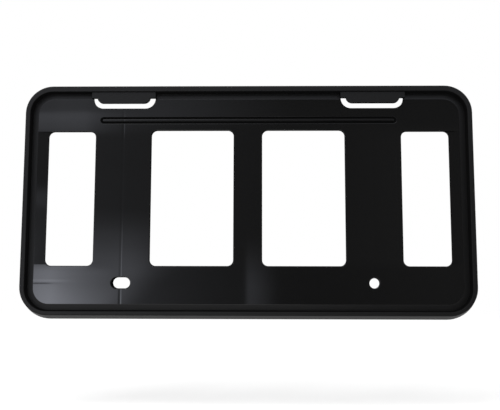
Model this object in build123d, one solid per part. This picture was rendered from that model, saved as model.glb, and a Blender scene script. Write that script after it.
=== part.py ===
from build123d import *
import os
from math import radians, tan

# Number plate holder: one moulding. Millimetres, +Z up, and the front looks along -Y.
# The origin is on the rear plane, which rests on the vehicle, behind the middle of the plate.
# A level is a height above the rear plane, counted towards the front.

# The plate that the holder carries, and the room around it at the mouth of the recess
plate_width = 304.8
plate_height = 152.4
plate_side_room = 3.55
plate_top_room = 1.05
plate_bottom_room = 2.75

# Depths, from the rear plane to the front of the rim
back_depth = 5.2
panel_thickness = 2.4
recess_depth = 4.4

# Rim around the recess, widest at the top, where it carries the clips
rim_side_face = 3.4
rim_top_face = 3.85
rim_bottom_face = 2.6
rim_corner_radius = 19.4
rim_edge_radius = 0.7
outer_flare_deg = 15.6
inner_draft_deg = 9.0
skirt_thickness = 2.4
skirt_edge_radius = 0.6

# Gutter at the foot of the recess wall, and the band that slopes up from it to the flat panel
gutter_depth = 0.3
gutter_floor = 0.4
band_width = 3.6
smallest_corner_radius = 1.0

# Clips at the top edge, and the cut-outs that free them
clip_spacing = 178.5
cutout_width = 44.9
cutout_drop = 11.35
cutout_corner_radius = 7.2
leg_width = 3.25
tip_gap = 3.0
shelf_clearance = 0.1
shelf_overlap = 0.6
tongue_corner_radius = 4.6
clip_thickness = 2.0
clip_step = 1.0
clip_edge_radius = 0.4

# Long bead that presses the plate against the clips, and the groove that it stands in
bead_drop = 8.75
bead_end_inset = 1.95
groove_width = 5.0
groove_depth = 0.9
groove_flank_deg = 25.0
groove_edge_radius = 0.25
bead_crest = 1.4
bead_rise = 0.4
bead_flank_deg = 15.0
bead_edge_radius = 0.3

# Screw holes on the lower holes of the plate: a slot on the left and a round hole on the right
hole_spacing = 177.8
hole_rise = 16.85
hole_diameter = 7.1
slot_width = 7.7
slot_length = 13.3
slot_outset = 0.5
hole_edge_radius = 0.7
boss_wall = 3.2
hole_relief = 1.2

# Windows through the panel, in two pairs
centre_bar_width = 20.5
inner_window_width = 59.1
narrow_window_width = 34.15
side_strip_width = 7.5
side_strip_fall = 1.15
side_strip_end_gap = 0.9
window_drop = 7.35
narrow_window_step = 0.9
window_rise = 11.95
window_corner_radius = 4.2
window_edge_radius = 0.5

# Ribs on the rear, which end short of the cut-outs
rib_thickness = 1.6
rib_gap = 1.6
rear_draft_deg = 1.0

# Largest share of a wall that the rounding of its edge takes, and of a height that a corner takes
edge_share = 0.33
corner_share = 0.8

# Levels
panel_level = back_depth + panel_thickness
gutter_level = panel_level - gutter_depth
front_level = panel_level + recess_depth
clip_front = front_level - clip_step
clip_back = clip_front - clip_thickness
groove_level = panel_level - groove_depth

# Recess and rim
mouth_top = plate_height / 2 + plate_top_room
mouth_bottom = -plate_height / 2 - plate_bottom_room
opening_width = plate_width + 2 * plate_side_room
opening_height = mouth_top - mouth_bottom
opening_z = (mouth_top + mouth_bottom) / 2
opening_radius = rim_corner_radius - rim_side_face
rim_top = mouth_top + rim_top_face
rim_bottom = mouth_bottom - rim_bottom_face
rim_width = opening_width + 2 * rim_side_face
rim_height = rim_top - rim_bottom
rim_z = (rim_top + rim_bottom) / 2

# How far the foot of the recess wall and the flat panel stand in from the mouth
wall_inset = (front_level - gutter_level) * tan(radians(inner_draft_deg))
panel_inset = wall_inset + gutter_floor + band_width

# Rows, from the top edge down and from the plate's lower edge up
cutout_bottom = mouth_top - cutout_drop
bead_row = cutout_bottom - bead_drop
inner_window_top = bead_row - window_drop
narrow_window_top = inner_window_top - narrow_window_step
hole_row = -plate_height / 2 + hole_rise
window_bottom = hole_row + window_rise

# Columns, from the middle out and from the band in
clip_x = clip_spacing / 2
hole_x = hole_spacing / 2
slot_x = -hole_x - slot_outset
inner_window_x = (centre_bar_width + inner_window_width) / 2
panel_edge_x = opening_width / 2 - panel_inset
narrow_window_x = panel_edge_x - side_strip_width - narrow_window_width / 2

# Parts of the clips and the bead
shelf_reach = panel_inset - shelf_clearance
shelf_width = cutout_width + 2 * shelf_overlap
tongue_width = cutout_width - 2 * leg_width
tongue_reach = cutout_drop - tip_gap
groove_length = clip_spacing + tongue_width - 2 * bead_end_inset
bead_height = groove_depth + bead_rise
bead_foot = bead_crest + 2 * bead_height * tan(radians(bead_flank_deg))

edge_tolerance = 0.01


# A rounded rectangle, grown outwards or, if negative, inwards, on the plane at a level
def rounded(width, height, z, radius, grow, level):
    corner = max(radius + grow, smallest_corner_radius)
    shape = RectangleRounded(width + 2 * grow, height + 2 * grow, corner)
    return Pos(0, 0, z) * (Plane.XZ.offset(level) * shape)


# The recess's outline, grown from its mouth
def recess_outline(grow, level):
    return rounded(opening_width, opening_height, opening_z, opening_radius, grow, level)


# The rim's outline, grown from its front face
def rim_outline(grow, level):
    return rounded(rim_width, rim_height, rim_z, rim_corner_radius, grow, level)


# A straight-sided solid between two levels, with its middle at x and z
def prism(shape, x, z, low, high):
    return Pos(x, 0, z) * extrude(Plane.XZ.offset(low) * shape, high - low)


# A solid that stands on the back of the panel, reaches the rear plane and narrows towards it
def rear_post(shape, x, z):
    return Pos(x, 0, z) * extrude(Plane.XZ.offset(back_depth) * shape, -back_depth, taper=rear_draft_deg)


# How far the outer wall stands out beyond the rim's front face at a level
def outer_grow(level):
    return (front_level - level) * tan(radians(outer_flare_deg))


# The skirt's inner face follows the outer wall
def skirt_grow(level):
    return outer_grow(level) - skirt_thickness


# Edges on the plane at a level whose middles are within a rectangle
def edges_at(solid, level, x, z, width, height):
    def inside(edge):
        middle = edge.center()
        near_level = abs(middle.Y + level) < edge_tolerance
        near_x = abs(middle.X - x) < width / 2 + edge_tolerance
        near_z = abs(middle.Z - z) < height / 2 + edge_tolerance
        return near_level and near_x and near_z

    return solid.edges().filter_by(inside)


# Rim with a flared outer wall, and the recess with its drafted wall, down to the gutter
def rim_block():
    block = loft([rim_outline(outer_grow(0), 0), rim_outline(0, front_level)])
    block = fillet(block.edges().group_by(Axis.Y)[-1], min(skirt_edge_radius, edge_share * skirt_thickness))
    block -= loft([recess_outline(0, front_level), recess_outline(-wall_inset, gutter_level)])
    return fillet(block.edges().group_by(Axis.Y)[0], min(rim_edge_radius, edge_share * rim_bottom_face))


# The flat panel stands in the recess, with the band sloping down to the gutter around it
def raised_panel():
    foot = recess_outline(band_width - panel_inset, gutter_level)
    return loft([foot, recess_outline(-panel_inset, panel_level)])


# The rear is hollow behind the panel, inside the skirt
def rear_hollow():
    return loft([rim_outline(skirt_grow(0), 0), rim_outline(skirt_grow(back_depth), back_depth)])


# Groove across the top of the panel, with sloping sides and its edge rounded over
def cut_groove(solid):
    mouth = Plane.XZ.offset(panel_level) * SlotOverall(groove_length, groove_width)
    solid -= Pos(0, 0, bead_row) * extrude(mouth, -groove_depth, taper=groove_flank_deg)
    front_edges = edges_at(solid, panel_level, 0, bead_row, groove_length, groove_width)
    return fillet(front_edges, min(groove_edge_radius, edge_share * groove_depth))


# The bead stands on the floor of its groove and ends a little above the panel
def bead():
    foot = Plane.XZ.offset(groove_level) * SlotOverall(groove_length - groove_width + bead_foot, bead_foot)
    body = extrude(foot, bead_height, taper=bead_flank_deg)
    crest = body.edges().group_by(Axis.Y)[0]
    return Pos(0, 0, bead_row) * fillet(crest, min(bead_edge_radius, edge_share * bead_crest))


# Cut-out below a clip, with rounded lower corners, up to the recess wall
def clip_cutout(x):
    height = mouth_top - wall_inset - cutout_bottom
    body = prism(Rectangle(cutout_width, height), x, cutout_bottom + height / 2, back_depth, panel_level)
    lower_corners = body.edges().filter_by(Axis.Y).group_by(Axis.Z)[0]
    return fillet(lower_corners, min(cutout_corner_radius, corner_share * height))


# Clip: a shelf wider than its cut-out, from the rim to just clear of the flat panel, and a narrower tongue
def clip(x):
    root = rim_top_face / 2
    shelf_height = root + shelf_reach
    tongue_height = root + tongue_reach
    shelf_z = mouth_top + root - shelf_height / 2
    tongue_z = mouth_top + root - tongue_height / 2
    shelf = prism(Rectangle(shelf_width, shelf_height), x, shelf_z, clip_back, clip_front)
    tongue = prism(Rectangle(tongue_width, tongue_height), x, tongue_z, clip_back, clip_front)
    tongue = fillet(tongue.edges().filter_by(Axis.Y).group_by(Axis.Z)[0], tongue_corner_radius)
    body = shelf + tongue
    return fillet(body.edges().group_by(Axis.Y)[0], min(clip_edge_radius, edge_share * clip_thickness))


# Bosses carry the screw holes back to the rear plane
def bosses():
    slot_boss = SlotOverall(slot_length + 2 * boss_wall, slot_width + 2 * boss_wall)
    hole_boss = Circle(hole_diameter / 2 + hole_relief + boss_wall)
    return [rear_post(slot_boss, slot_x, hole_row), rear_post(hole_boss, hole_x, hole_row)]


# Ribs behind the panel: one up the middle, one up each screw column and one along the hole row
def ribs():
    reach = skirt_grow(back_depth) + skirt_thickness / 2
    top = rim_top + reach
    low = rim_bottom - reach
    column_top = cutout_bottom - rib_gap
    column = Rectangle(rib_thickness, column_top - low)
    made = [rear_post(Rectangle(rib_thickness, top - low), 0, (top + low) / 2)]
    made += [rear_post(column, x, (column_top + low) / 2) for x in (slot_x, hole_x)]
    made.append(rear_post(Rectangle(rim_width + 2 * reach, rib_thickness), 0, hole_row))
    return made


# An opening straight through, with its front edge rounded over
def cut_through(solid, shape, x, z, edge_radius):
    solid -= prism(shape, x, z, 0, panel_level)
    size = shape.bounding_box().size
    front_edges = edges_at(solid, panel_level, x, z, size.X, size.Y)
    return fillet(front_edges, min(edge_radius, edge_share * panel_thickness))


# The slot runs straight through its boss, and the round hole widens behind the panel
def cut_screw_holes(solid):
    solid = cut_through(solid, SlotOverall(slot_length, slot_width), slot_x, hole_row, hole_edge_radius)
    solid = cut_through(solid, Circle(hole_diameter / 2), hole_x, hole_row, hole_edge_radius)
    return solid - prism(Circle(hole_diameter / 2 + hole_relief), hole_x, hole_row, 0, back_depth)


# One window through the panel
def cut_window(solid, x, width, top):
    height = top - window_bottom
    shape = RectangleRounded(width, height, window_corner_radius)
    return cut_through(solid, shape, x, window_bottom + height / 2, window_edge_radius)


# Beside each narrow window the panel slopes down from its edge, past the window's corners
def side_strip_cut(side):
    low = window_bottom + side_strip_end_gap
    reach = side_strip_width + window_corner_radius
    fall = side_strip_fall * reach / side_strip_width
    outer = (side * panel_edge_x, -panel_level)
    inner = (side * (panel_edge_x - reach), -panel_level)
    foot = (side * (panel_edge_x - reach), fall - panel_level)
    section = Plane.XY.offset(low) * make_face(Polyline(outer, inner, foot, close=True))
    return extrude(section, narrow_window_top - low)


holder = cut_groove(rim_block() + raised_panel() - rear_hollow()) + bead()
for side in (-1, 1):
    holder = holder - clip_cutout(side * clip_x) + clip(side * clip_x)
for post in bosses() + ribs():
    holder += post
holder = cut_screw_holes(holder)
for side in (-1, 1):
    holder = cut_window(holder, side * inner_window_x, inner_window_width, inner_window_top)
    holder = cut_window(holder, side * narrow_window_x, narrow_window_width, narrow_window_top)
    holder -= side_strip_cut(side)

os.makedirs("parts", exist_ok=True)
export_step(holder, "parts/plate_holder.step")
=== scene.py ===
import bpy
import bmesh
from math import radians
from mathutils import Matrix, Vector

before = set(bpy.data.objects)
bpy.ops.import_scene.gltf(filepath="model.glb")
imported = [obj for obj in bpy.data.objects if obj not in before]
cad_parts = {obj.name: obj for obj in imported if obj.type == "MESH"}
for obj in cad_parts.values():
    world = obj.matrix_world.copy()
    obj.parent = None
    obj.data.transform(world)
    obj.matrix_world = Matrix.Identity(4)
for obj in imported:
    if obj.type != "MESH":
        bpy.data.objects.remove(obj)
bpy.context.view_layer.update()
scene = bpy.context.scene
scene.view_settings.view_transform = "Standard"
print("frame loaded:", list(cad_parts))

noiseMiddle = 0.5  # mean value of a noise pattern
mixSockets = {"first": 6, "second": 7, "result": 2}  # a Mix node's colours, by number


# a socket that adds its own Math nodes when it is used in sums
class Wire:
    def __init__(self, tree, socket=None):
        self.tree = tree
        self.socket = socket

    # any node: its type, its settings, then what goes into its sockets
    def node(self, kind, settings=None, values=None, out=0):
        made = self.tree.nodes.new(kind)
        for name, value in (settings or {}).items():
            setattr(made, name, value)
        for name, value in (values or {}).items():
            if isinstance(value, Wire):
                self.tree.links.new(value.socket, made.inputs[name])
            else:
                made.inputs[name].default_value = value
        return Wire(self.tree, made.outputs[out] if len(made.outputs) else None)

    def calc(self, operation, *others):
        values = dict(enumerate((self,) + others))
        return self.node("ShaderNodeMath", {"operation": operation}, values)

    def flipped(self, operation, other):
        return self.node("ShaderNodeMath", {"operation": operation}, {0: other, 1: self})

    def __add__(self, other):
        return self.calc("ADD", other)

    def __radd__(self, other):
        return self.flipped("ADD", other)

    def __sub__(self, other):
        return self.calc("SUBTRACT", other)

    def __rsub__(self, other):
        return self.flipped("SUBTRACT", other)

    def __mul__(self, other):
        return self.calc("MULTIPLY", other)

    def __rmul__(self, other):
        return self.flipped("MULTIPLY", other)

    def __truediv__(self, other):
        return self.calc("DIVIDE", other)

    def __rtruediv__(self, other):
        return self.flipped("DIVIDE", other)

    def __abs__(self):
        return self.calc("ABSOLUTE")

    # 0 below low, 1 above high, smooth between
    def rise(self, low, high):
        values = {"Value": self, "From Min": low, "From Max": high}
        return self.node("ShaderNodeMapRange", {"interpolation_type": "SMOOTHSTEP"}, values)

    # 1 below low, 0 above high, smooth between
    def fall(self, low, high):
        return 1.0 - self.rise(low, high)

    # 1 up to an edge, then dying away over a length
    def fade(self, edge, length):
        return ((self - edge).calc("MAXIMUM", 0.0) * (-1.0 / length)).calc("EXPONENT")

    def axes(self):
        split = self.node("ShaderNodeSeparateXYZ", {}, {"Vector": self}).socket.node
        return [Wire(self.tree, socket) for socket in split.outputs]

    def stretched(self, factors):
        return self.node("ShaderNodeVectorMath", {"operation": "MULTIPLY"}, {0: self, 1: factors})

    def noise(self, scale, detail):
        values = {"Vector": self, "Scale": scale, "Detail": detail}
        return self.node("ShaderNodeTexNoise", {}, values, "Fac")

    # a colour between two others, with this wire as the share of the second
    def mixed(self, first, second):
        values = {"Factor": self, mixSockets["first"]: first, mixSockets["second"]: second}
        return self.node("ShaderNodeMix", {"data_type": "RGBA"}, values, mixSockets["result"])


def startMaterial(name):
    material = bpy.data.materials.new(name)
    material.use_nodes = True
    material.node_tree.nodes.clear()
    return material, Wire(material.node_tree)


# camera at the photograph's place, a little below the middle and looking up
cameraSet = {
    "place": (0.0097, -0.49736, -0.05871),
    "turn": (96.345, -0.121, 0.932),  # degrees
    "lens": 50.0,
    "sensor": 36.0,
    "clip": (0.01, 50.0),
}


def makeCamera():
    lens = bpy.data.cameras.new("photoCamera")
    lens.lens = cameraSet["lens"]
    lens.sensor_width = cameraSet["sensor"]
    lens.clip_start, lens.clip_end = cameraSet["clip"]
    camera = bpy.data.objects.new("photoCamera", lens)
    camera.location = cameraSet["place"]
    camera.rotation_euler = [radians(angle) for angle in cameraSet["turn"]]
    scene.collection.objects.link(camera)
    scene.camera = camera
    print("camera placed")


# black moulded plastic: a polished panel, a satin rim, and matt walls and grooves
plasticSet = {
    "panelColour": (0.0026, 0.0026, 0.0027, 1.0),
    "panelRough": 0.05,
    "panelGloss": 0.5,
    "rimColour": (0.0044, 0.0044, 0.0045, 1.0),
    "rimRough": 0.42,
    "rimGloss": 0.208,
    "wallRough": 0.6,
    "wallGloss": 0.0,
    "panelHalf": (0.15121, 0.07336),  # flat panel in metres: half size, middle row, corner radius
    "panelMiddle": -0.00085,
    "panelCorner": 0.01126,
    "panelEdge": 0.0002,
    "panelFront": -0.0087,
    "panelBack": -0.0055,
    "outerWall": (0.0072, 0.0080),  # the rim's outer wall is only partly matt
    "outerMatt": 0.5,
    "wallTilt": (0.03, 0.25),  # tilt from the front at which a face counts as a wall
    "grooveRow": 0.05715,
    "grooveHalf": (0.0024, 0.0026),
    "grooveLevel": (-0.0075, -0.0073),
    "smearScale": 90.0,  # uneven gloss
    "smearDetail": 3.0,
    "smearShare": 0.02,
    "waveStretch": (0.35, 1.0, 1.4),  # slow waves of the panel
    "waveScale": 26.0,
    "waveDetail": 1.5,
    "waveHeight": 0.04,
    "grainScale": 1900.0,  # fine grain of the satin rim
    "grainDetail": 1.0,
    "grainHeight": 0.004,
    "bumpStrength": 1.0,
    "bumpUnit": 0.001,  # heights are in millimetres
}

# shallow sink lines in front of the ribs: upright ones through both holes, and a short row at the left
sinkSet = {
    "lines": (-0.0894, 0.0889),
    "leftWidth": 0.0018,
    "rightWidth": 0.0010,
    "depth": 0.034,
    "row": -0.0588,
    "rowHalf": 0.0020,
    "rowDepth": 0.034,
    "rowEnd": (-0.146, -0.112),
}


# distance outwards from the outline of the flat panel
def panelDistance(x, z):
    halfX, halfZ = plasticSet["panelHalf"]
    corner = plasticSet["panelCorner"]
    overX = abs(x) - (halfX - corner)
    overZ = abs(z - plasticSet["panelMiddle"]) - (halfZ - corner)
    outX = overX.calc("MAXIMUM", 0.0)
    outZ = overZ.calc("MAXIMUM", 0.0)
    beyond = (outX * outX + outZ * outZ).calc("SQRT")
    within = overX.calc("MAXIMUM", overZ).calc("MINIMUM", 0.0)
    return beyond + within - corner


# depth of the sink lines, in millimetres
def sinkLines(x, z):
    row = sinkSet["rowDepth"] * abs(z - sinkSet["row"]).fall(0.0, sinkSet["rowHalf"])
    total = row * x.fall(*sinkSet["rowEnd"])
    for place in sinkSet["lines"]:
        left = x.rise(place - sinkSet["leftWidth"], place)
        right = x.rise(place, place + sinkSet["rightWidth"])
        total = total.calc("MAXIMUM", sinkSet["depth"] * (left - right))
    return total


def makeFinish(bump, colour, roughness, gloss):
    values = {"Base Color": colour, "Roughness": roughness, "Specular IOR Level": gloss, "Normal": bump}
    return bump.node("ShaderNodeBsdfPrincipled", {}, values)


def makePlastic():
    material, wire = startMaterial("blackPlastic")
    place = wire.node("ShaderNodeTexCoord", {}, {}, "Object")
    x, y, z = place.axes()
    distance = panelDistance(x, z)
    edge = plasticSet["panelEdge"]
    behindFront = y.calc("GREATER_THAN", plasticSet["panelFront"])
    beforeRear = y.calc("LESS_THAN", plasticSet["panelBack"])
    panel = distance.fall(-edge, edge) * beforeRear * behindFront
    satin = 1.0 - panel
    facing = wire.node("ShaderNodeNewGeometry", {}, {}, "Normal").axes()[1]
    outer = 1.0 - (1.0 - plasticSet["outerMatt"]) * distance.rise(*plasticSet["outerWall"])
    wall = (1.0 - abs(facing)).rise(*plasticSet["wallTilt"]) * outer
    groove = abs(z - plasticSet["grooveRow"]).fall(*plasticSet["grooveHalf"])
    groove = groove * panel * y.rise(*plasticSet["grooveLevel"])
    stretched = place.stretched(plasticSet["waveStretch"])
    wave = stretched.noise(plasticSet["waveScale"], plasticSet["waveDetail"])
    grain = place.noise(plasticSet["grainScale"], plasticSet["grainDetail"])
    smear = place.noise(plasticSet["smearScale"], plasticSet["smearDetail"])
    vary = plasticSet["smearShare"] * (smear - noiseMiddle)
    panelHeight = plasticSet["waveHeight"] * wave - sinkLines(x, z)
    rimHeight = plasticSet["grainHeight"] * grain
    values = {
        "Strength": plasticSet["bumpStrength"],
        "Distance": plasticSet["bumpUnit"],
        "Height": panel * panelHeight + satin * rimHeight,
    }
    bump = wire.node("ShaderNodeBump", {}, values)
    panelRough = plasticSet["panelRough"] + vary
    rimRough = plasticSet["rimRough"] + vary
    polished = makeFinish(bump, plasticSet["panelColour"], panelRough, plasticSet["panelGloss"])
    soft = makeFinish(bump, plasticSet["rimColour"], rimRough, plasticSet["rimGloss"])
    matt = makeFinish(bump, plasticSet["rimColour"], plasticSet["wallRough"], plasticSet["wallGloss"])
    surface = wire.node("ShaderNodeMixShader", {}, {0: satin, 1: polished, 2: soft})
    surface = wire.node("ShaderNodeMixShader", {}, {0: wall.calc("MAXIMUM", groove), 1: surface, 2: matt})
    wire.node("ShaderNodeOutputMaterial", {}, {"Surface": surface})
    return material


def dressHolder():
    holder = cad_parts["plate_holder"]
    plastic = makePlastic()
    for slot in holder.material_slots:
        slot.material = plastic
    print("holder dressed")


# a flat plane, turned about X by some degrees, with its place in its mesh
def makePlane(name, size, turn, place):
    width, length = size
    tilt = Matrix.Rotation(radians(turn), 3, "X")
    shape = bmesh.new()
    bmesh.ops.create_grid(shape, x_segments=1, y_segments=1, size=0.5)  # one by one metre
    bmesh.ops.scale(shape, vec=(width, length, 1.0), verts=shape.verts)
    bmesh.ops.rotate(shape, cent=(0, 0, 0), matrix=tilt, verts=shape.verts)
    bmesh.ops.translate(shape, vec=place, verts=shape.verts)
    mesh = bpy.data.meshes.new(name)
    shape.to_mesh(mesh)
    shape.free()
    plane = bpy.data.objects.new(name, mesh)
    scene.collection.objects.link(plane)
    return plane


def paintPlain(plane, name, colour):
    material, wire = startMaterial(name)
    surface = wire.node("ShaderNodeBsdfDiffuse", {}, {"Color": colour})
    wire.node("ShaderNodeOutputMaterial", {}, {"Surface": surface})
    plane.data.materials.append(material)


def reflectOnly(plane):
    plane.visible_camera = False
    plane.visible_diffuse = False
    plane.visible_shadow = False


# plain white floor below the holder
floorSet = {
    "size": (3.0, 3.0),
    "turn": 0.0,
    "place": (0.0, 0.0, -0.145),
    "colour": (0.97, 0.97, 0.97, 1.0),
}


def makeFloor():
    floor = makePlane("floor", floorSet["size"], floorSet["turn"], floorSet["place"])
    paintPlain(floor, "paleFloor", floorSet["colour"])
    print("floor laid")


# glow at the lower left: falls off to the right below, is even above, and ends along a slant
lowSet = {
    "glow": 3.8,
    "start": (-0.50, -0.36),
    "edge": -0.363,
    "length": 0.1,
    "top": (-0.045, -0.012),
    "lift": 0.22,
    "liftTop": (-0.090, -0.045),
    "evenGlow": 1.15,
    "evenEnd": (-0.24, -0.13),
    "evenTop": (-0.06, 0.08),
    "slant": 1.2,
    "slantEnd": (-0.17, -0.08),
    "slantLoss": 0.72,
}


def lowGlow(x, z):
    below = lowSet["glow"] * x.fade(lowSet["edge"], lowSet["length"])
    below = below * x.rise(*lowSet["start"]) * z.fall(*lowSet["top"])
    below = below * (1.0 + lowSet["lift"] * z.fall(*lowSet["liftTop"]))
    even = lowSet["evenGlow"] * x.fall(*lowSet["evenEnd"]) * z.fall(*lowSet["evenTop"])
    slant = (x - lowSet["slant"] * z).rise(*lowSet["slantEnd"])
    return below.calc("MAXIMUM", even) * (1.0 - lowSet["slantLoss"] * slant)


# glow at the upper left with a brighter foot, and a wider, weaker one beside it
topSet = {
    "glow": 0.66,
    "edge": -0.31,
    "length": 0.045,
    "foot": (0.203, 0.220),
    "loss": 0.82,
    "lossRange": (0.244, 0.251),
    "wideGlow": 0.26,
    "wideEnd": (-0.20, 0.10),
    "wideFoot": (0.222, 0.240),
}


def topGlow(x, z):
    near = x.fade(topSet["edge"], topSet["length"])
    near = near * (1.0 - topSet["loss"] * z.rise(*topSet["lossRange"]))
    wide = x.fall(*topSet["wideEnd"]) * z.rise(*topSet["wideFoot"])
    return topSet["glow"] * near * z.rise(*topSet["foot"]) + topSet["wideGlow"] * wide


# patch below the centre bar, sharp at its left
patchSet = {"glow": 0.50, "start": (-0.0195, -0.014), "end": (-0.020, 0.046), "top": (-0.08, 0.03)}


def patchGlow(x, z):
    across = x.rise(*patchSet["start"]) - x.rise(*patchSet["end"])
    return patchSet["glow"] * across * z.fall(*patchSet["top"])


# two upright bars opposite the windows: the sink line catches one, the left side strip the other
barSet = {
    "foot": (-0.038, -0.030),
    "lineGlow": 1.25,
    "lineStart": (-0.372, -0.355),
    "lineEnd": (-0.315, -0.288),
    "lineLoss": 0.95,
    "lineRange": (-0.01, 0.06),
    "stripStart": (-0.190, -0.175),
    "stripEnd": (-0.10, -0.07),
    "stripGlow": 0.13,
    "stripTop": (0.06, 0.10),
    "spotGlow": 0.30,
    "spotRow": 0.088,
    "spotHalf": (0.004, 0.026),
}


def barGlow(x, z):
    line = x.rise(*barSet["lineStart"]) - x.rise(*barSet["lineEnd"])
    line = barSet["lineGlow"] * line * (1.0 - barSet["lineLoss"] * z.rise(*barSet["lineRange"]))
    strip = x.rise(*barSet["stripStart"]) - x.rise(*barSet["stripEnd"])
    spot = barSet["spotGlow"] * abs(z - barSet["spotRow"]).fall(*barSet["spotHalf"])
    even = barSet["stripGlow"] * z.fall(*barSet["stripTop"])
    return z.rise(*barSet["foot"]) * (line + strip * (spot + even))


# dark card in front, seen only in reflections, which carries the soft bluish glows
cardSet = {
    "size": (2.6, 0.92),
    "turn": -90.0,
    "place": (0.25, -0.75, 0.32),
    "strength": 6.0,
    "dark": 0.125,
    "darkLoss": 0.26,
    "darkTop": (-0.045, -0.015),
    "rightLift": 0.042,
    "rightStart": (0.08, 0.38),
    "rightTop": (0.20, 0.23),
    "tint": (0.86, 0.89, 1.0, 1.0),
    "sideGlow": 0.17,
    "sideEnd": (-0.40, 0.10),
    "highGlow": 1.5,
    "highFoot": (0.30, 0.46),
    "cloudStretch": (5.0, 1.0, 32.0),
    "cloudScale": 1.0,
    "cloudDetail": 2.0,
    "cloudShare": 0.3,
}


def makeCard():
    card = makePlane("darkCard", cardSet["size"], cardSet["turn"], cardSet["place"])
    reflectOnly(card)
    material, wire = startMaterial("cardGlow")
    place = wire.node("ShaderNodeTexCoord", {}, {}, "Object")
    x, _, z = place.axes()
    side = cardSet["sideGlow"] * x.fall(*cardSet["sideEnd"])
    high = cardSet["highGlow"] * z.rise(*cardSet["highFoot"])
    glow = side + topGlow(x, z) + lowGlow(x, z) + patchGlow(x, z) + barGlow(x, z) + high
    cloud = place.stretched(cardSet["cloudStretch"]).noise(cardSet["cloudScale"], cardSet["cloudDetail"])
    glow = glow * (1.0 + cardSet["cloudShare"] * (cloud - noiseMiddle))
    dark = cardSet["dark"] * (1.0 - cardSet["darkLoss"] * z.fall(*cardSet["darkTop"]))
    right = cardSet["rightLift"] * x.rise(*cardSet["rightStart"]) * z.fall(*cardSet["rightTop"])
    level = (dark + right) / cardSet["strength"]
    grey = wire.node("ShaderNodeCombineXYZ", {}, {axis: level for axis in "XYZ"})
    colour = (glow / cardSet["strength"]).mixed(grey, cardSet["tint"])
    surface = wire.node("ShaderNodeEmission", {}, {"Color": colour, "Strength": cardSet["strength"]})
    wire.node("ShaderNodeOutputMaterial", {}, {"Surface": surface})
    card.data.materials.append(material)
    print("card set")


# grey flag on the floor at the right, also seen only in reflections
flagSet = {
    "size": (1.2, 0.66),
    "turn": 0.0,
    "place": (0.68, -0.40, -0.143),
    "colour": (0.35, 0.35, 0.35, 1.0),
}


def makeFlag():
    flag = makePlane("floorFlag", flagSet["size"], flagSet["turn"], flagSet["place"])
    reflectOnly(flag)
    paintPlain(flag, "flagGrey", flagSet["colour"])
    print("flag laid")


# even white room
roomSet = {"colour": (1.0, 1.0, 1.0, 1.0), "strength": 1.0}


def makeRoom():
    world = bpy.data.worlds.new("whiteRoom")
    world.use_nodes = True
    world.node_tree.nodes.clear()
    scene.world = world
    wire = Wire(world.node_tree)
    values = {"Color": roomSet["colour"], "Strength": roomSet["strength"]}
    sky = wire.node("ShaderNodeBackground", {}, values)
    wire.node("ShaderNodeOutputWorld", {}, {"Surface": sky})
    print("room lit")


# one soft lamp above
lampSet = {
    "shape": "SQUARE",
    "size": 0.9,
    "power": 6.0,
    "place": (-0.5, -0.6, 1.1),
    "aim": (0.0, 0.0, 0.0),
}


def makeLamp():
    light = bpy.data.lights.new("softLamp", "AREA")
    light.shape = lampSet["shape"]
    light.size = lampSet["size"]
    light.energy = lampSet["power"]
    lamp = bpy.data.objects.new("softLamp", light)
    lamp.location = lampSet["place"]
    aim = Vector(lampSet["aim"]) - Vector(lampSet["place"])
    lamp.rotation_euler = aim.to_track_quat("-Z", "Y").to_euler()
    scene.collection.objects.link(lamp)
    print("lamp hung")


makeCamera()
dressHolder()
makeFloor()
makeCard()
makeFlag()
makeRoom()
makeLamp()
